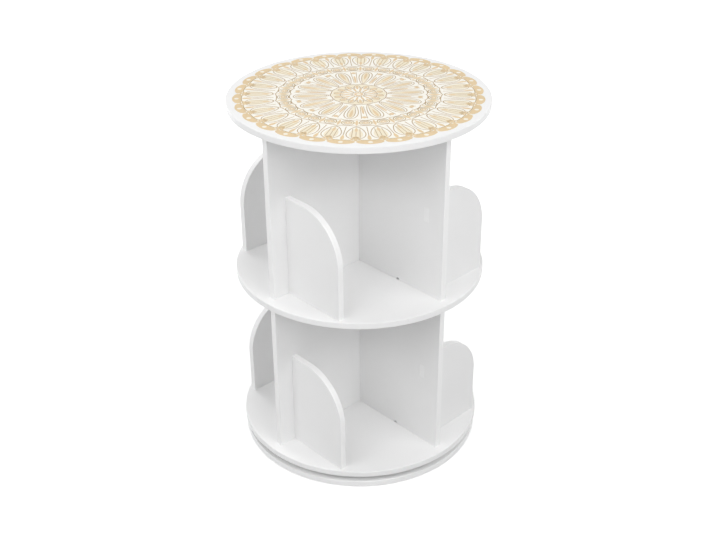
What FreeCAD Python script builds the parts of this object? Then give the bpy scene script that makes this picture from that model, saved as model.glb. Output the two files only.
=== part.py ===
import FreeCAD
import Part
import os
import Sketcher
from FreeCAD import Placement, Rotation, Vector

# A two-tier revolving bookshelf made of flat boards that slot together.
# Millimetres, +Z up. The origin is on the floor under the turning axis, and the dividers run along X and Y.

DRIVING_SIZES = [
    ("panel_thickness", "12", "every board and disc"),
    ("shelf_diameter", "460", "lower shelf, middle shelf and top"),
    ("base_diameter", "456", "fixed round base"),
    ("rim_round", "1.2", "rounding of the discs' rims"),
    ("edge_round", "1", "rounding of the boards' free edges"),
    ("tier_height", "311", "clear height between two discs"),
    ("fit_clearance", "0.2", "play on each side of a tab, tenon or halving joint"),
    ("foot_diameter", "36", "soft pad under the base"),
    ("foot_thickness", "2", "soft pad under the base"),
    ("foot_inset", "32", "base rim to the middle of a pad"),
    ("foot_chamfer", "0.6", "chamfer on a pad's lower edge"),
    ("divider_inset", "17.5", "rim of a shelf to a divider's end"),
    ("tab_length", "210", "tab on a divider's lower and upper edge"),
    ("relief_radius", "4", "cutter relief in a divider's edge beside its tab"),
    ("bookend_inset", "57.5", "rim of a shelf to the middle of a bookend's thickness"),
    ("bookend_reach", "136.5", "turning axis to a bookend's free edge"),
    ("bookend_height", "187", "shelf to the top of a bookend"),
    ("bookend_curve", "91", "radius of a bookend's upper corner"),
    ("bookend_tab_start", "40", "divider's middle plane to the bookend's lower tab"),
    ("bookend_tab_length", "60", "tab on a bookend's lower edge"),
    ("tenon_bottom", "141", "shelf to the lower side of a bookend's tenon"),
    ("tenon_height", "27", "tenon through the divider"),
    ("bearing_height", "12", "base to lower shelf"),
    ("ring_width", "16", "each race ring, measured along the radius"),
    ("ring_lift", "1.5", "running gap above the fixed ring and below the turning ring"),
    ("ring_gap", "3", "gap between the two rings"),
    ("ring_edge", "0.8", "chamfer on the rings' edges"),
    ("ball_circle_diameter", "280", "circle through the middles of the balls"),
    ("ball_diameter", "6", "steel ball"),
    ("ball_count", "24", "balls in the cage"),
    ("race_clearance", "0.3", "play between a ball and its races"),
    ("cage_thickness", "1.6", "band that keeps the balls apart"),
    ("cage_height", "9", "band that keeps the balls apart"),
    ("cage_clearance", "0.15", "play between a ball and its hole in the band"),
    ("screw_diameter", "4", "long countersunk screws"),
    ("screw_head_diameter", "8", "long countersunk screws"),
    ("screw_recess_span", "4.2", "driver's cross in a long screw's head"),
    ("screw_recess_width", "1.1", "each arm of that cross"),
    ("screw_recess_depth", "1.5", "each arm of that cross"),
    ("screw_clearance", "0.1", "play round a screw"),
    ("base_screw_length", "20", "base into the fixed ring"),
    ("ring_screw_length", "20", "turning ring into the lower shelf"),
    ("shelf_screw_length", "40", "shelf into a divider"),
    ("shelf_screw_inset", "24.5", "a divider's end to a shelf screw"),
    ("bracket_leg", "20", "angle bracket"),
    ("bracket_width", "16", "angle bracket"),
    ("bracket_thickness", "2", "angle bracket"),
    ("bracket_bend", "1", "inner radius of the bracket's bend"),
    ("bracket_corner", "3", "rounding of the bracket's free corners"),
    ("bracket_distance", "60", "turning axis to the middle of a bracket"),
    ("bracket_screw_diameter", "3", "small countersunk screws"),
    ("bracket_screw_head_diameter", "5.6", "small countersunk screws"),
    ("bracket_screw_recess_span", "3", "driver's cross in a small screw's head"),
    ("bracket_screw_recess_width", "0.8", "each arm of that cross"),
    ("bracket_screw_recess_depth", "1", "each arm of that cross"),
    ("bracket_screw_length", "10", "bracket into a board"),
]
FOOT_COUNT = 6
ARMS = 4  # the dividers of a tier make a cross with four arms
ARM_TURN = 90
SCREW_TURN = ARM_TURN / 2  # the turntable's screws lie between the arms
TOUCH = 1e-6  # two places closer than this are the same place

doc = FreeCAD.newDocument("revolving_bookshelf")
sheet = doc.addObject("Spreadsheet::Sheet", "Sizes")
for row, (name, number, note) in enumerate(DRIVING_SIZES, start=1):
    sheet.set(f"A{row}", number)
    sheet.setAlias(f"A{row}", name)
    sheet.set(f"B{row}", note)
doc.recompute()


class Size:
    # A length together with the spreadsheet expression that it comes from.
    def __init__(self, value, text):
        self.value = value
        self.text = text

    def __add__(self, other):
        other = as_size(other)
        return Size(self.value + other.value, f"({self.text} + {other.text})")

    def __sub__(self, other):
        other = as_size(other)
        return Size(self.value - other.value, f"({self.text} - {other.text})")

    def __mul__(self, other):
        other = as_size(other)
        return Size(self.value * other.value, f"({self.text} * {other.text})")

    def __truediv__(self, other):
        other = as_size(other)
        return Size(self.value / other.value, f"({self.text} / {other.text})")

    def __neg__(self):
        return Size(-self.value, f"(-1 * {self.text})")


def as_size(thing):
    if isinstance(thing, Size):
        return thing
    return Size(float(thing), f"({float(thing)})")


def driving(name):
    return Size(float(sheet.get(name)), f"Sizes.{name}")


# Driving sizes by name
panel = driving("panel_thickness")
shelf_radius = driving("shelf_diameter") / 2
base_radius = driving("base_diameter") / 2
tier_height = driving("tier_height")
fit = driving("fit_clearance")
tab_half = driving("tab_length") / 2
relief_radius = driving("relief_radius")
bookend_reach = driving("bookend_reach")
bookend_height = driving("bookend_height")
bookend_curve = driving("bookend_curve")
bookend_tab_start = driving("bookend_tab_start")
bookend_tab_end = bookend_tab_start + driving("bookend_tab_length")
tenon_bottom = driving("tenon_bottom")
tenon_top = tenon_bottom + driving("tenon_height")
bearing_height = driving("bearing_height")
ring_lift = driving("ring_lift")
ball_circle = driving("ball_circle_diameter") / 2
ball_radius = driving("ball_diameter") / 2
bracket_leg = driving("bracket_leg")
bracket_thickness = driving("bracket_thickness")
bracket_distance = driving("bracket_distance")
screw_clearance = driving("screw_clearance")

# Sizes that follow from them
divider_half = shelf_radius - driving("divider_inset")
shelf_screw_distance = divider_half - driving("shelf_screw_inset")
bookend_distance = shelf_radius - driving("bookend_inset")
panel_half = panel / 2
tab_depth = panel_half - fit  # tabs from both sides share the middle shelf's slot
slot_half = panel_half + fit
slot_depth = tab_depth + fit
ring_height = bearing_height - ring_lift
outer_ring_inner = ball_circle + driving("ring_gap") / 2
outer_ring_outer = outer_ring_inner + driving("ring_width")
outer_ring_middle = (outer_ring_inner + outer_ring_outer) / 2
inner_ring_outer = ball_circle - driving("ring_gap") / 2
inner_ring_inner = inner_ring_outer - driving("ring_width")
inner_ring_middle = (inner_ring_inner + inner_ring_outer) / 2
ball_height = bearing_height / 2
bracket_screw_place = (bracket_leg + bracket_thickness) / 2  # from a bracket's outer corner

# Heights above the floor
base_bottom = driving("foot_thickness")
base_top = base_bottom + panel
lower_bottom = base_top + bearing_height
lower_top = lower_bottom + panel
middle_bottom = lower_top + tier_height
middle_top = middle_bottom + panel
top_bottom = middle_top + tier_height

nodes = []


def new_body(label, height, turn=0):
    body = doc.addObject("PartDesign::Body", label)
    body.Label = label
    body.Placement = Placement(Vector(0, 0, 0), Rotation(Vector(0, 0, 1), turn))
    body.setExpression("Placement.Base.z", as_size(height).text)
    nodes.append(body)
    return body


def origin_feature(body, role):
    return next(thing for thing in body.Origin.OriginFeatures if thing.Role == role)


def new_sketch(body, plane, name, offset=0, turn=0):
    # A sketch on a plane of the body, moved along the plane's normal and turned about the sketch's upright.
    sketch = body.newObject("Sketcher::SketchObject", name)
    sketch.AttachmentSupport = [(origin_feature(body, plane), "")]
    sketch.MapMode = "FlatFace"
    sketch.AttachmentOffset = Placement(Vector(0, 0, 0), Rotation(Vector(0, 1, 0), turn))
    sketch.setExpression("AttachmentOffset.Base.z", as_size(offset).text)
    return sketch


def hold(sketch, kind, size, *places):
    # One dimension of a sketch, bound to the spreadsheet.
    index = sketch.addConstraint(Sketcher.Constraint(kind, *places, size.value))
    sketch.setExpression(f"Constraints[{index}]", size.text)


def hold_point(sketch, geometry, end, point):
    hold(sketch, "DistanceX", as_size(point[0]), -1, 1, geometry, end)
    hold(sketch, "DistanceY", as_size(point[1]), -1, 1, geometry, end)


def vector(point):
    return Vector(as_size(point[0]).value, as_size(point[1]).value, 0)


def draw_circle(sketch, centre, radius):
    circle = sketch.addGeometry(Part.Circle(vector(centre), Vector(0, 0, 1), radius.value))
    hold_point(sketch, circle, 3, centre)
    hold(sketch, "Radius", radius, circle)


def draw_outline(sketch, corners, arcs=None):
    # A closed outline. arcs gives, for a side that is round, its centre and radius, turning to the left.
    arcs = arcs or {}
    sides = []
    for index, corner in enumerate(corners):
        start = vector(corner)
        end = vector(corners[(index + 1) % len(corners)])
        side = Part.LineSegment(start, end)
        if index in arcs:
            centre, radius = arcs[index]
            middle = vector(centre)
            outward = (start + end) * 0.5 - middle
            side = Part.Arc(start, middle + outward.normalize() * radius.value, end)
        sides.append(sketch.addGeometry(side))
    for index, side in enumerate(sides):
        sketch.addConstraint(Sketcher.Constraint("Coincident", side, 2, sides[(index + 1) % len(sides)], 1))
        hold_point(sketch, side, 1, corners[index])
        if index in arcs:
            hold(sketch, "Radius", arcs[index][1], side)
    return sides


def rectangle(left, bottom, right, top):
    return [(left, bottom), (right, bottom), (right, top), (left, top)]


def pad(body, sketch, length, symmetric=False):
    feature = body.newObject("PartDesign::Pad", f"{sketch.Label}_pad")
    feature.Profile = sketch
    feature.SideType = "Symmetric" if symmetric else "One side"
    feature.setExpression("Length", length.text)
    return feature


def pocket(body, sketch, depth=None, upward=False, symmetric=False):
    # Cuts to a depth, or right through where no depth is given.
    feature = body.newObject("PartDesign::Pocket", f"{sketch.Label}_pocket")
    feature.Profile = sketch
    feature.SideType = "Symmetric" if symmetric else "One side"
    feature.Reversed = upward
    feature.Type = "Length" if depth else "ThroughAll"
    if depth:
        feature.setExpression("Length", depth.text)
    return feature


def turned(body, sketch, kind, axis=None):
    # A Revolution or Groove about the sketch's own axis line, or about an axis of the body.
    feature = body.newObject(f"PartDesign::{kind}", f"{sketch.Label}_{kind.lower()}")
    feature.Profile = sketch
    feature.ReferenceAxis = (origin_feature(body, axis), [""]) if axis else (sketch, ["Axis0"])
    feature.Angle = 360
    return feature


def around(body, features, count):
    pattern = body.newObject("PartDesign::PolarPattern", f"{features[0].Label}_around")
    pattern.Originals = features
    pattern.Axis = (origin_feature(body, "Z_Axis"), [""])
    pattern.Angle = 360
    pattern.setExpression("Occurrences", as_size(count).text)
    body.Tip = pattern
    return pattern


def dress(body, kind, amount, name, wanted):
    # A Fillet or Chamfer on the edges of the body that the test picks.
    doc.recompute()
    base = body.Tip
    picked = [f"Edge{index}" for index, edge in enumerate(base.Shape.Edges, start=1) if wanted(edge)]
    feature = body.newObject(f"PartDesign::{kind}", name)
    feature.Base = (base, picked)
    feature.setExpression("Radius" if kind == "Fillet" else "Size", amount.text)
    return feature


def near(first, second):
    return abs(first - second) < TOUCH


def is_circle(edge, radius):
    return edge.Curve.TypeId == "Part::GeomCircle" and near(edge.Curve.Radius, radius.value)


class Screw:
    # A countersunk screw: a straight shank with a point, and a head with a right-angled cone.
    def __init__(self, prefix, length):
        self.shank = driving(f"{prefix}screw_diameter") / 2
        self.head = driving(f"{prefix}screw_head_diameter") / 2
        self.recess_span = driving(f"{prefix}screw_recess_span")
        self.recess_width = driving(f"{prefix}screw_recess_width")
        self.recess_depth = driving(f"{prefix}screw_recess_depth")
        self.length = driving(length)

    def draw(self, sketch, axis, start, direction, play=0, lying=False):
        # The half section beside its axis, standing or lying in the sketch, with play all round for a hole.
        shank = self.shank + play
        sink = start + (self.head - self.shank) * direction
        shoulder = start + (self.length - self.shank) * direction
        tip = start + (self.length + play) * direction
        section = [
            (axis, start),
            (axis + self.head + play, start),
            (axis + shank, sink),
            (axis + shank, shoulder),
            (axis, tip),
        ]
        if lying:
            section = [(along, across) for across, along in section]
        sides = draw_outline(sketch, section)
        line = sketch.addGeometry(Part.LineSegment(vector(section[0]), vector(section[-1])), True)
        sketch.addConstraint(Sketcher.Constraint("Coincident", line, 1, sides[0], 1))
        sketch.addConstraint(Sketcher.Constraint("Coincident", line, 2, sides[-1], 1))

    def recess(self, body, name, axis, start, direction, lying=False, **plane):
        # The driver's cross in the head: two arms, one along the sketch's plane and one across it.
        floor = start + self.recess_depth * direction
        sizes = (self.recess_span, self.recess_width)
        arms = []
        for arm, (along, across) in (("first", sizes), ("second", sizes[::-1])):
            sketch = new_sketch(body, name=f"{name}_{arm}_arm", **plane)
            corners = rectangle(axis - along / 2, start, axis + along / 2, floor)
            if lying:
                corners = [(along, across) for across, along in corners]
            draw_outline(sketch, corners)
            arms.append(pocket(body, sketch, across, symmetric=True))
        return arms


base_screw = Screw("", "base_screw_length")
ring_screw = Screw("", "ring_screw_length")
shelf_screw = Screw("", "shelf_screw_length")
bracket_screw = Screw("bracket_", "bracket_screw_length")


def screws_up(body, screw, distance, start, name, kind, turn=0, count=ARMS):
    # Screws, or their holes, that point upwards on a circle round the turning axis.
    start = as_size(start)
    sketch = new_sketch(body, "XZ_Plane", name, turn=turn)
    if kind == "Groove":
        screw.draw(sketch, distance, start, 1, screw_clearance)
        return around(body, [turned(body, sketch, kind)], count)
    screw.draw(sketch, distance, start, 1)
    made = [turned(body, sketch, kind)]
    made += screw.recess(body, name, distance, start, 1, plane="XZ_Plane", turn=turn)
    return around(body, made, count)


def bracket_screw_features(body, name, kind, axis, start, direction, lying=False):
    # One screw of a bracket with its recess, or its hole alone.
    sketch = new_sketch(body, "YZ_Plane", name, bracket_distance)
    play = screw_clearance if kind == "Groove" else 0
    bracket_screw.draw(sketch, axis, start, direction, play, lying)
    made = [turned(body, sketch, kind)]
    if kind == "Revolution":
        made += bracket_screw.recess(body, name, axis, start, direction, lying,
                                     plane="YZ_Plane", offset=bracket_distance)
    return made


def bracket_screw_up(body, disc_bottom, name, kind):
    # The screw of a bracket that goes up into the disc above it.
    axis = panel_half + bracket_screw_place
    start = as_size(disc_bottom) - bracket_thickness
    return bracket_screw_features(body, name, kind, axis, start, 1)


def bracket_screw_across(body, disc_bottom, name, kind):
    # The screw of a bracket that goes sideways into the divider.
    axis = as_size(disc_bottom) - bracket_screw_place
    start = panel_half + bracket_thickness
    return bracket_screw_features(body, name, kind, axis, start, -1, lying=True)


def disc(label, radius, height):
    body = new_body(label, height)
    outline = new_sketch(body, "XY_Plane", f"{label}_outline")
    draw_circle(outline, (0, 0), radius)
    pad(body, outline, panel)
    dress(body, "Fillet", driving("rim_round"), f"{label}_rim", lambda edge: is_circle(edge, radius))
    return body


def cross_slot(body, name, sketch_height, depth=None, upward=False):
    # The cross-shaped slot for the dividers' tabs, which it outruns by the cutter's radius.
    end = tab_half + relief_radius
    corners = []
    for along, across in (((1, 0), (0, 1)), ((0, 1), (-1, 0)), ((-1, 0), (0, -1)), ((0, -1), (1, 0))):
        for reach, side in ((end, -1), (end, 1), (slot_half, 1)):
            corners.append(tuple(reach * along[i] + slot_half * across[i] * side for i in (0, 1)))
    outline = new_sketch(body, "XY_Plane", f"{name}_cross", sketch_height)
    draw_outline(outline, corners)
    pocket(body, outline, depth, upward)


def bookend_slots(body, name):
    slot = new_sketch(body, "XY_Plane", f"{name}_bookend_slot", panel)
    draw_outline(slot, rectangle(bookend_distance - slot_half, bookend_tab_start - fit,
                                 bookend_distance + slot_half, bookend_tab_end + fit))
    around(body, [pocket(body, slot, slot_depth)], ARMS)


def build_base():
    body = disc("base_disc", base_radius, base_bottom)
    screws_up(body, base_screw, outer_ring_middle, 0, "base_disc_hole", "Groove", SCREW_TURN)
    for number in range(FOOT_COUNT):
        foot_pad(number)
    screws = new_body("base_screws", base_bottom)
    screws_up(screws, base_screw, outer_ring_middle, 0, "base_screw", "Revolution", SCREW_TURN)


def foot_pad(number):
    label = f"foot_pad_{number + 1}"
    body = new_body(label, 0, 360 / FOOT_COUNT * number)
    outline = new_sketch(body, "XY_Plane", f"{label}_outline")
    draw_circle(outline, (base_radius - driving("foot_inset"), 0), driving("foot_diameter") / 2)
    pad(body, outline, driving("foot_thickness"))
    dress(body, "Chamfer", driving("foot_chamfer"), f"{label}_edge", lambda edge: near(edge.BoundBox.ZMax, 0))


def race_ring(label, height, inner, outer, race_height):
    # A flat ring with a round race for the balls.
    body = new_body(label, height)
    outline = new_sketch(body, "XY_Plane", f"{label}_outline")
    draw_circle(outline, (0, 0), inner)
    draw_circle(outline, (0, 0), outer)
    pad(body, outline, ring_height)
    dress(body, "Chamfer", driving("ring_edge"), f"{label}_edge",
          lambda edge: is_circle(edge, inner) or is_circle(edge, outer))
    race = new_sketch(body, "XZ_Plane", f"{label}_race")
    draw_circle(race, (ball_circle, race_height), ball_radius + driving("race_clearance"))
    turned(body, race, "Groove", "Z_Axis")
    return body


def build_turntable():
    outer = race_ring("bearing_outer_ring", base_top, outer_ring_inner, outer_ring_outer, ball_height)
    screws_up(outer, base_screw, outer_ring_middle, -panel, "outer_ring_hole", "Groove", SCREW_TURN)
    inner = race_ring("bearing_inner_ring", base_top + ring_lift, inner_ring_inner, inner_ring_outer,
                      ball_height - ring_lift)
    screws_up(inner, ring_screw, inner_ring_middle, 0, "inner_ring_hole", "Groove", SCREW_TURN)
    screws = new_body("ring_screws", base_top + ring_lift)
    screws_up(screws, ring_screw, inner_ring_middle, 0, "ring_screw", "Revolution", SCREW_TURN)
    build_cage()


def build_cage():
    cage_half = driving("cage_height") / 2
    wall_half = driving("cage_thickness") / 2
    cage = new_body("ball_cage", base_top + ball_height)
    band = new_sketch(cage, "XY_Plane", "cage_band", -cage_half)
    draw_circle(band, (0, 0), ball_circle - wall_half)
    draw_circle(band, (0, 0), ball_circle + wall_half)
    pad(cage, band, driving("cage_height"))
    hole = new_sketch(cage, "YZ_Plane", "cage_ball_hole")
    draw_circle(hole, (0, 0), ball_radius + driving("cage_clearance"))
    around(cage, [pocket(cage, hole, upward=True)], driving("ball_count"))
    balls = new_body("bearing_balls", base_top + ball_height)
    ball = balls.newObject("PartDesign::AdditiveSphere", "ball")
    ball.setExpression("Radius", ball_radius.text)
    ball.setExpression("Placement.Base.x", ball_circle.text)
    around(balls, [ball], driving("ball_count"))


def build_lower_shelf():
    body = disc("lower_shelf", shelf_radius, lower_bottom)
    cross_slot(body, "lower_shelf", panel, slot_depth)
    bookend_slots(body, "lower_shelf")
    screws_up(body, shelf_screw, shelf_screw_distance, 0, "lower_shelf_hole", "Groove")
    screws_up(body, ring_screw, inner_ring_middle, -ring_height, "lower_shelf_ring", "Groove", SCREW_TURN)


def build_middle_shelf():
    body = disc("middle_shelf", shelf_radius, middle_bottom)
    cross_slot(body, "middle_shelf", panel)
    bookend_slots(body, "middle_shelf")
    screws_up(body, shelf_screw, shelf_screw_distance, 0, "middle_shelf_hole", "Groove")
    around(body, bracket_screw_up(body, 0, "middle_shelf_bracket_hole", "Groove"), ARMS)


def build_top_disc():
    body = disc("top_disc", shelf_radius, top_bottom)
    cross_slot(body, "top_disc", 0, slot_depth, upward=True)
    around(body, bracket_screw_up(body, 0, "top_disc_bracket_hole", "Groove"), ARMS)


def divider(label, height, turn, slot_from_top):
    # A full-width board. Two of them cross in a halving joint, one slotted from above and one from below.
    body = new_body(label, height, turn)
    outline = new_sketch(body, "XZ_Plane", f"{label}_outline")
    tab_top = tier_height + tab_depth
    draw_outline(outline, [
        (-divider_half, 0), (-tab_half, 0), (-tab_half, -tab_depth), (tab_half, -tab_depth), (tab_half, 0),
        (divider_half, 0), (divider_half, tier_height), (tab_half, tier_height), (tab_half, tab_top),
        (-tab_half, tab_top), (-tab_half, tier_height), (-divider_half, tier_height),
    ])
    pad(body, outline, panel, symmetric=True)
    dress(body, "Fillet", driving("edge_round"), f"{label}_ends",
          lambda edge: all(near(abs(corner.X), divider_half.value) for corner in edge.Vertexes)
          and near(edge.Length, tier_height.value))
    reliefs = new_sketch(body, "XZ_Plane", f"{label}_relief")
    relief_place = tab_half + relief_radius / 2
    for side in (1, -1):
        draw_circle(reliefs, (relief_place * side, 0), relief_radius)
        draw_circle(reliefs, (relief_place * side, tier_height), relief_radius)
    pocket(body, reliefs, symmetric=True)
    middle = tier_height / 2
    slot = new_sketch(body, "XZ_Plane", f"{label}_halving")
    if slot_from_top:
        draw_outline(slot, rectangle(-slot_half, middle - fit, slot_half, tab_top + fit))
    else:
        draw_outline(slot, rectangle(-slot_half, -tab_depth - fit, slot_half, middle + fit))
    pocket(body, slot, symmetric=True)
    mortises = new_sketch(body, "XZ_Plane", f"{label}_mortise")
    for side in (1, -1):
        centre = bookend_distance * side
        draw_outline(mortises, rectangle(centre - slot_half, tenon_bottom - fit,
                                         centre + slot_half, tenon_top + fit))
    pocket(body, mortises, symmetric=True)
    screws_up(body, shelf_screw, shelf_screw_distance, -panel, f"{label}_screw_hole", "Groove", count=2)
    around(body, bracket_screw_across(body, tier_height, f"{label}_bracket_hole", "Groove"), 2)


def bookend(label, height, turn):
    # A low board with a quarter-round corner, a tenon through the divider and a tab in the shelf.
    body = new_body(label, height, turn)
    outline = new_sketch(body, "YZ_Plane", f"{label}_outline", bookend_distance)
    curve_side = bookend_reach - bookend_curve
    curve_height = bookend_height - bookend_curve
    corners = [
        (panel_half, 0), (bookend_tab_start, 0), (bookend_tab_start, -tab_depth),
        (bookend_tab_end, -tab_depth), (bookend_tab_end, 0), (bookend_reach, 0),
        (bookend_reach, curve_height), (curve_side, bookend_height),
        (panel_half, bookend_height), (panel_half, tenon_top), (-panel_half, tenon_top),
        (-panel_half, tenon_bottom), (panel_half, tenon_bottom),
    ]
    draw_outline(outline, corners, {6: ((curve_side, curve_height), bookend_curve)})
    pad(body, outline, panel, symmetric=True)

    def is_free(edge):
        box = edge.BoundBox
        on_face = near(box.XMin, box.XMax)
        upright = near(box.YMin, bookend_reach.value)
        level = near(box.ZMin, bookend_height.value)
        return on_face and (upright or level or edge.Curve.TypeId == "Part::GeomCircle")

    dress(body, "Fillet", driving("edge_round"), f"{label}_edges", is_free)


def bracket(label, height, turn):
    # A steel angle between the underside of a disc and the face of a divider.
    body = new_body(label, height, turn)
    outer = panel_half + bracket_leg
    inner = panel_half + bracket_thickness
    section = new_sketch(body, "YZ_Plane", f"{label}_section", bracket_distance)
    draw_outline(section, [
        (panel_half, 0), (panel_half, -bracket_leg), (inner, -bracket_leg),
        (inner, -bracket_thickness), (outer, -bracket_thickness), (outer, 0),
    ])
    pad(body, section, driving("bracket_width"), symmetric=True)

    def is_bend(edge):
        box = edge.BoundBox
        upright = near(box.YMin, inner.value) and near(box.YMax, inner.value)
        return upright and near(box.ZMin, -bracket_thickness.value)

    def is_corner(edge):
        box = edge.BoundBox
        at_end = near(box.YMin, outer.value) or near(box.ZMax, -bracket_leg.value)
        return at_end and near(edge.Length, bracket_thickness.value)

    dress(body, "Fillet", driving("bracket_bend"), f"{label}_bend", is_bend)
    dress(body, "Fillet", driving("bracket_corner"), f"{label}_corners", is_corner)
    bracket_screw_up(body, 0, f"{label}_hole_up", "Groove")
    bracket_screw_across(body, 0, f"{label}_hole_across", "Groove")


def bracket_screws(label, height):
    body = new_body(label, height)
    upward = bracket_screw_up(body, 0, f"{label}_up", "Revolution")
    sideways = bracket_screw_across(body, 0, f"{label}_across", "Revolution")
    around(body, upward + sideways, ARMS)


def build_tier(name, height, disc_name):
    # The dividers and bookends of one tier, and what ties the disc above to them.
    divider(f"{name}_divider_a", height, 0, slot_from_top=True)
    divider(f"{name}_divider_b", height, ARM_TURN, slot_from_top=False)
    ceiling = height + tier_height
    for arm in range(ARMS):
        bookend(f"{name}_bookend_{arm + 1}", height, ARM_TURN * arm)
        bracket(f"{disc_name}_bracket_{arm + 1}", ceiling, ARM_TURN * arm)
    bracket_screws(f"{disc_name}_bracket_screws", ceiling)


def shelf_screws(label, height):
    body = new_body(label, height)
    screws_up(body, shelf_screw, shelf_screw_distance, 0, label, "Revolution")


def check_document():
    # Stops on a failed object, a bad solid or a cut that removed nothing.
    doc.recompute()
    for thing in doc.Objects:
        if "Invalid" in thing.State or "Error" in thing.State:
            raise RuntimeError(f"{thing.Label}: {thing.State}")
        if thing.isDerivedFrom("PartDesign::Pocket") or thing.isDerivedFrom("PartDesign::Groove"):
            if thing.Shape.Volume > thing.BaseFeature.Shape.Volume - TOUCH:
                raise RuntimeError(f"{thing.Label} cuts nothing")
    for node in nodes:
        if node.Shape.isNull() or not node.Shape.isValid():
            raise RuntimeError(f"{node.Label} is not a valid shape")


build_base()
build_turntable()
build_lower_shelf()
build_middle_shelf()
build_top_disc()
build_tier("lower", lower_top, "middle")
build_tier("upper", middle_top, "top")
shelf_screws("lower_shelf_screws", lower_bottom)
shelf_screws("middle_shelf_screws", middle_bottom)
check_document()
os.makedirs("parts", exist_ok=True)
for node in nodes:
    node.Shape.exportStep(f"parts/{node.Label}.step")
    print(node.Label, len(node.Shape.Solids), round(node.Shape.Volume))
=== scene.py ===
import math

import bmesh
import bpy
from mathutils import Matrix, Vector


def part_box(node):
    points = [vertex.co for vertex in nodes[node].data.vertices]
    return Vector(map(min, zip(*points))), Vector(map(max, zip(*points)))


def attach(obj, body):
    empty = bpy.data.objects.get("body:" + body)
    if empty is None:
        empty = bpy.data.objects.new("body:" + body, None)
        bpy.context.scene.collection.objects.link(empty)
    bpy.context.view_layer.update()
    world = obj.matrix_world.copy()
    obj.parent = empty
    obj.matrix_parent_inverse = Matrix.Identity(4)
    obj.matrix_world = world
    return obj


# Revolving bookshelf: white boards on a ball turntable, with a gold rosette printed on the round top.

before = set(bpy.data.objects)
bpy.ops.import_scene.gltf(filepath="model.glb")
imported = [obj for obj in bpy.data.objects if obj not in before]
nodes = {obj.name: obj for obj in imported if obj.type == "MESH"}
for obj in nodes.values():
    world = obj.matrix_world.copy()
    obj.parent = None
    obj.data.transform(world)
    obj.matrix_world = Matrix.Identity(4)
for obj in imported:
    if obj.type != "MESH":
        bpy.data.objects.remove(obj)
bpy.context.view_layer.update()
scene = bpy.context.scene
print("frame loaded,", len(nodes), "nodes")


# small helpers for shader trees

def feed(tree, socket, value):
    # a constant goes on the socket itself, another node's output is linked to it
    if isinstance(value, (int, float, tuple)):
        socket.default_value = value
    else:
        tree.links.new(value, socket)


def newNode(tree, kind, **sockets):
    node = tree.nodes.new(kind)
    for name, value in sockets.items():
        feed(tree, node.inputs[name.replace("_", " ")], value)
    return node


def mathNode(tree, operation, first, second=0.0):
    node = tree.nodes.new("ShaderNodeMath")
    node.operation = operation
    feed(tree, node.inputs[0], first)
    feed(tree, node.inputs[1], second)
    return node.outputs[0]


def lengthOf(tree, vector):
    node = tree.nodes.new("ShaderNodeVectorMath")
    node.operation = "LENGTH"
    feed(tree, node.inputs[0], vector)
    return node.outputs["Value"]


def mixColours(tree, factor, first, second):
    node = tree.nodes.new("ShaderNodeMix")
    node.data_type = "RGBA"
    for index, value in ((0, factor), (6, first), (7, second)):  # the factor and the two colours
        feed(tree, node.inputs[index], value)
    return node.outputs[2]


def noise(tree, place, scale, detail=2.0):
    return newNode(tree, "ShaderNodeTexNoise", Vector=place, Scale=scale, Detail=detail).outputs[0]


def opaque(colour):
    return (*colour, 1.0)


def newGroup(name, inputs, outputs):
    group = bpy.data.node_groups.new(name, "ShaderNodeTree")
    for label, kind in inputs:
        group.interface.new_socket(label, in_out="INPUT", socket_type=kind)
    for label, kind in outputs:
        group.interface.new_socket(label, in_out="OUTPUT", socket_type=kind)
    return group, group.nodes.new("NodeGroupInput"), group.nodes.new("NodeGroupOutput")


skinSettings = {
    "broadDetail": 3.0, "patchDetail": 4.0, "patchFiner": 6.0, "patchShare": 0.4, "fineDetail": 2.0,
}


def makeSurfaceGroup(settings):
    # cloudy tone, patchy gloss and a fine skin, for every painted, moulded or printed surface
    group, given, result = newGroup("surfaceSkin", [
        ("Place", "NodeSocketVector"), ("Colour", "NodeSocketColor"), ("Tone", "NodeSocketFloat"),
        ("Tone Scale", "NodeSocketFloat"), ("Gloss", "NodeSocketFloat"), ("Gloss Spread", "NodeSocketFloat"),
        ("Skin Scale", "NodeSocketFloat"),
    ], [("Colour", "NodeSocketColor"), ("Roughness", "NodeSocketFloat"), ("Skin", "NodeSocketFloat")])
    place, toneScale = given.outputs["Place"], given.outputs["Tone Scale"]

    def cloud(scale, detail):
        # noise that swings about 0
        return mathNode(group, "SUBTRACT", noise(group, place, scale, detail), 0.5)

    broad = cloud(toneScale, settings["broadDetail"])
    patch = cloud(mathNode(group, "MULTIPLY", toneScale, settings["patchFiner"]), settings["patchDetail"])
    lift = mathNode(group, "ADD", broad, mathNode(group, "MULTIPLY", patch, settings["patchShare"]))
    shade = mathNode(group, "ADD", 1.0, mathNode(group, "MULTIPLY", lift, given.outputs["Tone"]))
    toned = group.nodes.new("ShaderNodeVectorMath")
    toned.operation = "SCALE"
    feed(group, toned.inputs[0], given.outputs["Colour"])
    feed(group, toned.inputs["Scale"], shade)
    spread = mathNode(group, "MULTIPLY", patch, given.outputs["Gloss Spread"])
    feed(group, result.inputs["Colour"], toned.outputs[0])
    feed(group, result.inputs["Roughness"], mathNode(group, "ADD", given.outputs["Gloss"], spread))
    feed(group, result.inputs["Skin"], cloud(given.outputs["Skin Scale"], settings["fineDetail"]))
    return group


surfaceSkin = makeSurfaceGroup(skinSettings)


def newMaterial(name):
    material = bpy.data.materials.new(name)
    material.use_nodes = True
    tree = material.node_tree
    shader = tree.nodes["Principled BSDF"]
    place = tree.nodes.new("ShaderNodeTexCoord").outputs["Object"]
    return material, tree, shader, place


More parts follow.
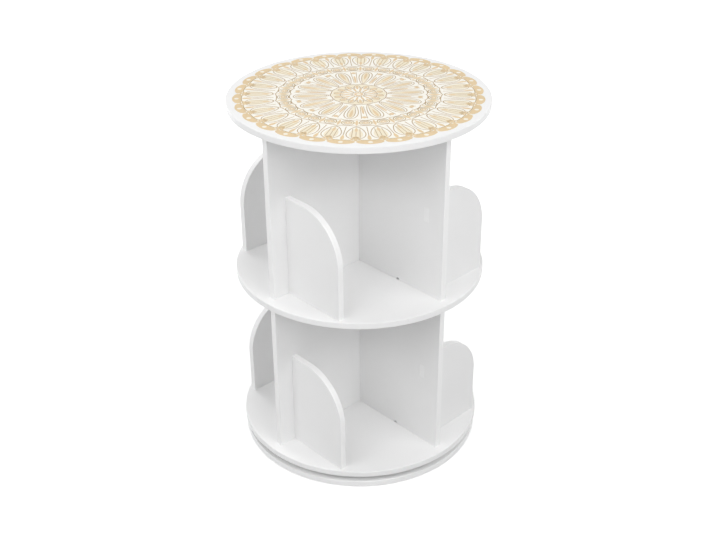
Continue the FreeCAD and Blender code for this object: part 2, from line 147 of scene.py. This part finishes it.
def addSkin(tree, shader, place, look):
    # the shared skin with a material's own values
    skin = tree.nodes.new("ShaderNodeGroup")
    skin.node_tree = surfaceSkin
    feed(tree, skin.inputs["Place"], place)
    feed(tree, skin.inputs["Colour"], opaque(look["colour"]))
    for label, key in (("Tone", "tone"), ("Tone Scale", "toneScale"), ("Gloss", "gloss"),
                       ("Gloss Spread", "glossSpread"), ("Skin Scale", "skinScale")):
        feed(tree, skin.inputs[label], look[key])
    bump = newNode(tree, "ShaderNodeBump", Strength=look["skinStrength"], Distance=look["skinDepth"],
                   Height=skin.outputs["Skin"])
    feed(tree, shader.inputs["Base Color"], skin.outputs["Colour"])
    feed(tree, shader.inputs["Roughness"], skin.outputs["Roughness"])
    feed(tree, shader.inputs["Normal"], bump.outputs[0])
    feed(tree, shader.inputs["Metallic"], look.get("metallic", 0.0))
    return skin


def skinMaterial(name, look):
    material, tree, shader, place = newMaterial(name)
    addSkin(tree, shader, place, look)
    return material


def dress(material, names):
    for name in names:
        nodes[name].data.materials.clear()
        nodes[name].data.materials.append(material)


def ending(*ends):
    return [name for name in nodes if name.endswith(ends)]


# white boards: the cut edges are a little whiter than the faces

boardLook = {
    "colour": (0.90, 0.90, 0.90), "edge": 0.95, "rim": 0.9, "tone": 0.03, "toneScale": 7.0,
    "gloss": 0.42, "glossSpread": 0.1, "skinScale": 700.0, "skinStrength": 0.08, "skinDepth": 0.0004,
}
boardGroups = {  # by the axis across the board's thickness
    "X": ending("_divider_b", "_bookend_1", "_bookend_3"),
    "Y": ending("_divider_a", "_bookend_2", "_bookend_4"),
    "Z": ending("_shelf", "top_disc"),
}


def boardMaterial(name, axis, look, edge):
    material, tree, shader, place = newMaterial("white_lacquer_" + name)
    skin = addSkin(tree, shader, place, look)
    across = newNode(tree, "ShaderNodeSeparateXYZ", Vector=place.node.outputs["Normal"])
    facing = mathNode(tree, "ABSOLUTE", across.outputs[axis])
    tone = mixColours(tree, facing, (edge, edge, edge, 1.0), opaque(look["colour"]))
    feed(tree, skin.inputs["Colour"], tone)
    return material


for axis, boards in boardGroups.items():
    edge = boardLook["rim" if axis == "Z" else "edge"]
    dress(boardMaterial("board_" + axis.lower(), axis, boardLook, edge), boards)
dress(boardMaterial("base", "Z", boardLook, boardLook["edge"]), ["base_disc"])


# pads, screws, brackets, cage and balls

padLook = {
    "colour": (0.045, 0.045, 0.047), "tone": 0.5, "toneScale": 60.0, "gloss": 0.85, "glossSpread": 0.1,
    "skinScale": 1500.0, "skinStrength": 0.5, "skinDepth": 0.0006,
}
dress(skinMaterial("dark_foam_rubber", padLook), [name for name in nodes if name.startswith("foot_pad_")])

screwLook = {
    "colour": (0.62, 0.6, 0.54), "tone": 0.25, "toneScale": 90.0, "gloss": 0.32, "glossSpread": 0.25,
    "skinScale": 2500.0, "skinStrength": 0.1, "skinDepth": 0.0002, "metallic": 1.0,
}
screws = ending("_screws")
dress(skinMaterial("zinc_plated_steel", screwLook), screws)

bracketLook = {
    "colour": (0.83, 0.83, 0.82), "tone": 0.05, "toneScale": 40.0, "gloss": 0.4, "glossSpread": 0.15,
    "skinScale": 1400.0, "skinStrength": 0.25, "skinDepth": 0.0003,
}
brackets = [name for name in nodes if "_bracket_" in name and name not in screws]
dress(skinMaterial("white_powder_coat", bracketLook), brackets)

cageLook = {
    "colour": (0.72, 0.69, 0.6), "tone": 0.1, "toneScale": 30.0, "gloss": 0.5, "glossSpread": 0.15,
    "skinScale": 900.0, "skinStrength": 0.15, "skinDepth": 0.0003,
}
dress(skinMaterial("natural_nylon", cageLook), ["ball_cage"])

ballLook = {
    "colour": (0.66, 0.67, 0.69), "tone": 0.08, "toneScale": 120.0, "gloss": 0.12, "glossSpread": 0.12,
    "skinScale": 3000.0, "skinStrength": 0.03, "skinDepth": 0.0001, "metallic": 1.0,
}
dress(skinMaterial("polished_ball_steel", ballLook), ["bearing_balls"])


# turned aluminium rings: fine concentric tool marks

ringLook = {
    "colour": (0.68, 0.69, 0.7), "stained": (0.585, 0.593, 0.602), "stainScale": 25.0, "stainDetail": 4.0,
    "markPitch": 0.00045, "markDepth": 0.00006, "markStrength": 0.4, "wobble": 0.00135, "wobbleScale": 40.0,
    "roughness": 0.3, "spread": 0.25,
}


def turnedMaterial(look):
    material, tree, shader, place = newMaterial("turned_aluminium")
    flat = tree.nodes.new("ShaderNodeVectorMath")
    flat.operation = "MULTIPLY"
    feed(tree, flat.inputs[0], place)
    feed(tree, flat.inputs[1], (1.0, 1.0, 0.0))
    wobble = mathNode(tree, "MULTIPLY", noise(tree, place, look["wobbleScale"]), look["wobble"])
    reach = mathNode(tree, "ADD", lengthOf(tree, flat.outputs[0]), wobble)
    marks = mathNode(tree, "SINE", mathNode(tree, "MULTIPLY", reach, math.tau / look["markPitch"]))
    bump = newNode(tree, "ShaderNodeBump", Strength=look["markStrength"], Distance=look["markDepth"],
                   Height=marks)
    stain = noise(tree, place, look["stainScale"], look["stainDetail"])
    rough = mathNode(tree, "ADD", look["roughness"], mathNode(tree, "MULTIPLY", stain, look["spread"]))
    tone = mixColours(tree, stain, opaque(look["stained"]), opaque(look["colour"]))
    feed(tree, shader.inputs["Base Color"], tone)
    feed(tree, shader.inputs["Roughness"], rough)
    feed(tree, shader.inputs["Normal"], bump.outputs[0])
    feed(tree, shader.inputs["Metallic"], 1.0)
    return material


dress(turnedMaterial(ringLook), ["bearing_outer_ring", "bearing_inner_ring"])
print("board, pad, bracket and turntable materials set")


# printed rosette on the top: flat ink shapes in millimetres, each drawn once and repeated round the axis

metre = 1000  # millimetres
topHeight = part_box("top_disc")[1].z * metre
folds = 14  # sectors of the rosette
outerFolds = folds * 2  # the outer zones have two motifs in each sector
halfSector = math.pi / folds
quarterSector = halfSector / 2
chainRadius = 130.6  # circle through the rings of the middle band
inkSunk = 0.02  # the inks reach a little into the board
heelWeight = 1.6  # outlines are heavier at the inner end
lobeFullness = 0.55  # below 1, lobes are fuller than a cosine
leafLean, leafSides = -0.2, 12


def repeatRound(bm, faces, count, turn):
    parts = set(faces)
    for face in faces:
        parts.update(face.verts)
        parts.update(face.edges)
    corners = [part for part in parts if isinstance(part, bmesh.types.BMVert)]
    bmesh.ops.rotate(bm, cent=(0, 0, 0), matrix=Matrix.Rotation(turn, 3, "Z"), verts=corners)
    if count > 1:
        sweep = math.tau * (count - 1) / count
        bmesh.ops.spin(bm, geom=list(parts), cent=(0, 0, 0), axis=(0, 0, 1), angle=sweep, steps=count - 1,
                       use_duplicate=True)


def bridge(bm, loops):
    edges = {edge for corners in loops for corner in corners for edge in corner.link_edges}
    return bmesh.ops.bridge_loops(bm, edges=list(edges))["faces"]


def dropLoop(bm, inner, outer, width, lean, bend, sides, filled=False):
    corners = bmesh.ops.create_circle(bm, cap_ends=filled, segments=sides, radius=1.0)["verts"]
    for corner in corners:
        along, across = corner.co.x, corner.co.y
        corner.co.x = inner + (outer - inner) * (along + 1) / 2
        corner.co.y = across * width / 2 * (1 + lean * along) + bend * ((along + 1) / 2) ** 2
    return corners


def drop(bm, inner, outer, width, lean=0.0, bend=0.0, line=0.0, count=folds, turn=0.0, sides=20):
    # a drop along the radius: lean above 0 is fat towards the rim, bend leans its tip aside,
    # and line leaves an outline of that width
    loop = dropLoop(bm, inner, outer, width, lean, bend, sides, filled=not line)
    if line:
        heel = inner + line * heelWeight
        hollow = dropLoop(bm, heel, outer - line, width - line * 2, lean, bend, sides)
        faces = bridge(bm, [loop, hollow])
    else:
        faces = loop[0].link_faces[:]
    repeatRound(bm, faces, count, turn)


def leafPair(bm, inner, outer, width, bend, spread, count=folds, turn=0.0):
    for way in (-1, 1):
        drop(bm, inner, outer, width, lean=leafLean, bend=bend * way, count=count,
             turn=turn + math.radians(spread) * way, sides=leafSides)


def bead(bm, reach, radius, line=0.0, count=folds, turn=0.0, sides=12):
    drop(bm, reach - radius, reach + radius, radius * 2, line=line, count=count, turn=turn, sides=sides)


def lobedBand(bm, inner, outer, innerLobe=0.0, outerLobe=0.0, count=folds, sides=12):
    # a band whose edges run in round lobes, outward where the lobe is above 0
    loops = []
    for radius, height in ((inner, innerLobe), (outer, outerLobe)):
        corners = bmesh.ops.create_circle(bm, segments=count * sides, radius=radius)["verts"]
        for corner in corners:
            angle = math.atan2(corner.co.y, corner.co.x)
            lobe = abs(math.cos(angle * count / 2)) ** lobeFullness
            corner.co *= 1 + height * lobe / radius
        loops.append(corners)
    bridge(bm, loops)


def rib(bm, inner, outer, width, count=folds, turn=0.0):
    corners = bmesh.ops.create_grid(bm, x_segments=1, y_segments=1, size=0.5)["verts"]
    bmesh.ops.scale(bm, vec=(outer - inner, width, 1), verts=corners)
    bmesh.ops.translate(bm, vec=((outer + inner) / 2, 0, 0), verts=corners)
    repeatRound(bm, [corners[0].link_faces[0]], count, turn)


def ribPair(bm, inner, outer, width, spread, count=folds, turn=0.0):
    for way in (-1, 1):
        rib(bm, inner, outer, width, count, turn + math.radians(spread) * way)


def inkPiece(name, ink):
    bm = bmesh.new()
    for draw, sizes in ink["shapes"].values():
        draw(bm, **sizes)
    raised = bmesh.ops.extrude_face_region(bm, geom=bm.faces[:])["geom"]
    raised = [part for part in raised if isinstance(part, bmesh.types.BMVert)]
    bmesh.ops.translate(bm, vec=(0, 0, ink["depth"] + inkSunk), verts=raised)
    bmesh.ops.recalc_face_normals(bm, faces=bm.faces[:])
    bmesh.ops.translate(bm, vec=(0, 0, topHeight - inkSunk), verts=bm.verts[:])
    bmesh.ops.scale(bm, vec=(1 / metre, 1 / metre, 1 / metre), verts=bm.verts[:])
    mesh = bpy.data.meshes.new(name)
    bm.to_mesh(mesh)
    bm.free()
    piece = bpy.data.objects.new(name, mesh)
    scene.collection.objects.link(piece)
    mesh.materials.append(skinMaterial(name + "_ink", ink))
    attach(piece, "tower")
    print(name, len(mesh.polygons), "faces")


inkSkin = {"toneScale": 26.0, "gloss": 0.38, "glossSpread": 0.1, "skinScale": 900.0, "skinStrength": 0.05,
           "skinDepth": 0.0002}
outerRow = {"count": outerFolds}
outerRowBetween = {"count": outerFolds, "turn": quarterSector}

fieldInk = {**inkSkin, "colour": (0.95, 0.92, 0.845), "tone": 0.05, "depth": 0.03, "shapes": {
    "ground": (lobedBand, {"inner": 0.5, "outer": 204, "outerLobe": 4.0, **outerRow}),
}}
inkPiece("top_print_field", fieldInk)

washInk = {**inkSkin, "colour": (0.87, 0.785, 0.6), "tone": 0.16, "depth": 0.06, "shapes": {
    "petals": (drop, {"inner": 155, "outer": 195, "width": 22, "lean": 0.3, **outerRowBetween}),
    "chain": (lobedBand, {"inner": 124.5, "outer": 137, "innerLobe": 3.0, "outerLobe": -3.0, **outerRow}),
    "rays": (drop, {"inner": 58, "outer": 110, "width": 12.5, "lean": 0.45}),
    "heart": (lobedBand, {"inner": 32, "outer": 44, "innerLobe": 3.0, "outerLobe": 3.0}),
}}
inkPiece("top_print_wash", washInk)

linesInk = {**inkSkin, "colour": (0.46, 0.315, 0.135), "tone": 0.2, "depth": 0.10, "shapes": {
    "border": (lobedBand, {"inner": 198.4, "outer": 200.0, "innerLobe": 3.0, "outerLobe": 3.0, **outerRow}),
    "petals": (drop, {"inner": 147, "outer": 198, "width": 32, "lean": 0.3, "line": 1.4, "sides": 24,
                      **outerRowBetween}),
    "petalRibs": (rib, {"inner": 152, "outer": 186, "width": 1.1, **outerRowBetween}),
    "petalSideRibs": (ribPair, {"inner": 156, "outer": 192, "width": 1.1, "spread": 2.1, **outerRowBetween}),
    "spokes": (rib, {"inner": 147, "outer": 184, "width": 1.3, **outerRow}),
    "chainOuterLine": (lobedBand, {"inner": 144.4, "outer": 146.0, "innerLobe": -3.4, "outerLobe": -3.4,
                                   **outerRow}),
    "chainInnerLine": (lobedBand, {"inner": 115.6, "outer": 117.2, "innerLobe": 3.4, "outerLobe": 3.4,
                                   **outerRow}),
    "chainRings": (bead, {"reach": chainRadius, "radius": 11.0, "line": 1.4, "sides": 16, **outerRow}),
    "chainEyes": (bead, {"reach": chainRadius, "radius": 7.0, "line": 1.2, "sides": 14, **outerRow}),
    "rays": (drop, {"inner": 50, "outer": 114, "width": 23, "lean": 0.45, "line": 1.4}),
    "innerRays": (drop, {"inner": 54, "outer": 110, "width": 13, "lean": 0.45, "line": 1.2}),
    "rayRibs": (ribPair, {"inner": 58, "outer": 112, "width": 1.1, "spread": 2.6, "turn": halfSector}),
    "heartRim": (lobedBand, {"inner": 46.4, "outer": 48.2, "innerLobe": 1.5, "outerLobe": 1.5}),
    "heartRing": (lobedBand, {"inner": 29.0, "outer": 30.4, "innerLobe": 2.5, "outerLobe": 2.5}),
    "heartPetals": (drop, {"inner": 9, "outer": 44, "width": 11.5, "lean": 0.35, "line": 1.2, "sides": 16,
                           "turn": halfSector}),
}}
inkPiece("top_print_lines", linesInk)

goldInk = {**inkSkin, "colour": (0.74, 0.555, 0.3), "tone": 0.2, "depth": 0.13, "shapes": {
    "border": (lobedBand, {"inner": 204, "outer": 209, "innerLobe": -1.0, "outerLobe": 9.0, **outerRow}),
    "sprigStems": (drop, {"inner": 186, "outer": 206, "width": 6.6, "lean": -0.2, "sides": 12,
                          **outerRowBetween}),
    "sprigLeaves": (leafPair, {"inner": 189, "outer": 205, "width": 4.4, "bend": 7.5, "spread": 1.0,
                               **outerRowBetween}),
    "buds": (drop, {"inner": 183, "outer": 201, "width": 6.0, "lean": 0.3, "sides": 12, **outerRow}),
    "petalFeet": (drop, {"inner": 151, "outer": 168, "width": 4.6, "lean": 0.3, "sides": 12,
                         **outerRowBetween}),
    "chainEyes": (bead, {"reach": chainRadius, "radius": 4.4, **outerRow}),
    "chainLinks": (drop, {"inner": 119.5, "outer": 142, "width": 4.2, "sides": 12, **outerRowBetween}),
    "rayTongues": (drop, {"inner": 74, "outer": 106, "width": 5.0, "lean": 0.4, "sides": 14}),
    "sideTongues": (drop, {"inner": 54, "outer": 92, "width": 3.6, "lean": 0.35, "sides": 12,
                           "turn": halfSector}),
    "rayBeads": (bead, {"reach": 107, "radius": 4.2, "turn": halfSector}),
    "heartPetals": (drop, {"inner": 24, "outer": 42, "width": 4.6, "lean": 0.3, "sides": 12,
                           "turn": halfSector}),
    "heartLeaves": (drop, {"inner": 14, "outer": 28, "width": 4.0, "lean": 0.3, "sides": 12}),
    "middle": (bead, {"reach": 0, "radius": 8, "count": 1, "sides": 32}),
}}
inkPiece("top_print_gold", goldInk)

pearlInk = {**inkSkin, "colour": (0.92, 0.865, 0.76), "tone": 0.06, "depth": 0.16, "shapes": {
    "borderBeads": (bead, {"reach": 210.5, "radius": 4.0, **outerRow}),
    "borderDrops": (drop, {"inner": 205, "outer": 211, "width": 3.4, "sides": 10, **outerRowBetween}),
    "chainBeads": (bead, {"reach": chainRadius, "radius": 1.8, "sides": 8, **outerRow}),
    "middle": (bead, {"reach": 0, "radius": 4, "count": 1, "sides": 24}),
}}
inkPiece("top_print_pearl", pearlInk)


# floor, light and camera

white = opaque((1.0, 1.0, 1.0))
floorSettings = {
    "half": 9.0, "colour": (0.66, 0.66, 0.66), "fleckColour": (0.8, 0.8, 0.8), "fleck": 0.01,
    "fleckScale": 3.0, "roughness": 0.9, "nearEdge": 0.4, "farEdge": 1.6, "nearGlow": 0.56, "farGlow": 1.0,
}
lampSettings = {
    "reach": 3.2, "size": 1.7, "aimHeight": 0.35,
    "lamps": [  # on a dome round the object: turn from the camera's side, height angle, power
        ("backLeftLamp", -130, 50, 20.8),
        ("rearLeftLamp", -140, 12, 25.0),
        ("rearHighLamp", 180, 50, 10.6),
        ("rearRightLamp", 130, 20, 24.0),
        ("sideLamp", -90, 3, 6.6),
        ("leftLamp", -60, 25, 16.1),
        ("leftHighLamp", -60, 45, 8.7),
        ("frontLeftLamp", -30, 25, 5.3),
        ("frontLeftHighLamp", -30, 45, 20.0),
        ("frontRightLamp", 30, 25, 21.2),
        ("frontRightHighLamp", 30, 45, 13.3),
        ("rightLamp", 60, 25, 4.0),
        ("rightHighLamp", 60, 45, 23.2),
    ],
}
cameraSettings = {
    "focalPixels": 1105.8, "frameWidth": 716, "azimuth": 46.572, "pitch": 29.708, "roll": -0.327,
    "sideways": -0.00295, "distance": 1.8106, "height": 1.3674,
}


def seenRays(tree):
    # 1 for what the camera sees, straight or in a mirror
    path = tree.nodes.new("ShaderNodeLightPath")
    mirrored = mathNode(tree, "MAXIMUM", path.outputs["Is Glossy Ray"], path.outputs["Is Transmission Ray"])
    return mathNode(tree, "MAXIMUM", path.outputs["Is Camera Ray"], mirrored)


def makeFloor(settings):
    # a pale floor that takes the shadow and glows to white away from the object
    bm = bmesh.new()
    bmesh.ops.create_grid(bm, x_segments=1, y_segments=1, size=settings["half"])
    mesh = bpy.data.meshes.new("floor")
    bm.to_mesh(mesh)
    bm.free()
    floor = bpy.data.objects.new("floor", mesh)
    scene.collection.objects.link(floor)
    material, tree, shader, place = newMaterial("pale_floor")
    fleck = mathNode(tree, "MULTIPLY", noise(tree, place, settings["fleckScale"]), settings["fleck"])
    tone = mixColours(tree, fleck, opaque(settings["colour"]), opaque(settings["fleckColour"]))
    glow = newNode(tree, "ShaderNodeMapRange", Value=lengthOf(tree, place), From_Min=settings["nearEdge"],
                   From_Max=settings["farEdge"], To_Min=settings["nearGlow"], To_Max=settings["farGlow"])
    feed(tree, shader.inputs["Base Color"], tone)
    feed(tree, shader.inputs["Roughness"], settings["roughness"])
    feed(tree, shader.inputs["Specular IOR Level"], 0.0)
    feed(tree, shader.inputs["Emission Color"], white)
    seenGlow = mathNode(tree, "MULTIPLY", seenRays(tree), glow.outputs[0])
    feed(tree, shader.inputs["Emission Strength"], seenGlow)
    mesh.materials.append(material)


def makeWorld():
    # white to the camera, and no light of its own
    world = bpy.data.worlds.new("studio")
    scene.world = world
    world.use_nodes = True
    background = world.node_tree.nodes["Background"]
    feed(world.node_tree, background.inputs["Color"], white)
    feed(world.node_tree, background.inputs["Strength"], seenRays(world.node_tree))


def makeLamps(settings):
    for name, turn, height, power in settings["lamps"]:
        light = bpy.data.lights.new(name, "AREA")
        light.shape = "DISK"
        light.size = settings["size"]
        light.energy = power
        lamp = bpy.data.objects.new(name, light)
        swing = Matrix.Rotation(math.radians(cameraSettings["azimuth"] + turn), 4, "Z")
        lift = Matrix.Rotation(math.radians(90 - height), 4, "X")
        out = Matrix.Translation((0, 0, settings["reach"]))
        lamp.matrix_world = Matrix.Translation((0, 0, settings["aimHeight"])) @ swing @ lift @ out
        scene.collection.objects.link(lamp)


def makeCamera(settings):
    data = bpy.data.cameras.new("photoCamera")
    data.lens = settings["focalPixels"] / settings["frameWidth"] * data.sensor_width
    camera = bpy.data.objects.new("photoCamera", data)
    turn = Matrix.Rotation(math.radians(settings["azimuth"]), 4, "Z")
    tilt = Matrix.Rotation(math.radians(90 - settings["pitch"]), 4, "X")
    roll = Matrix.Rotation(math.radians(settings["roll"]), 4, "Z")
    stand = Matrix.Translation((settings["sideways"], -settings["distance"], settings["height"]))
    camera.matrix_world = turn @ stand @ tilt @ roll
    scene.collection.objects.link(camera)
    scene.camera = camera


makeFloor(floorSettings)
makeWorld()
makeLamps(lampSettings)
makeCamera(cameraSettings)
scene.view_settings.view_transform = "Standard"
print("floor, light and camera set")
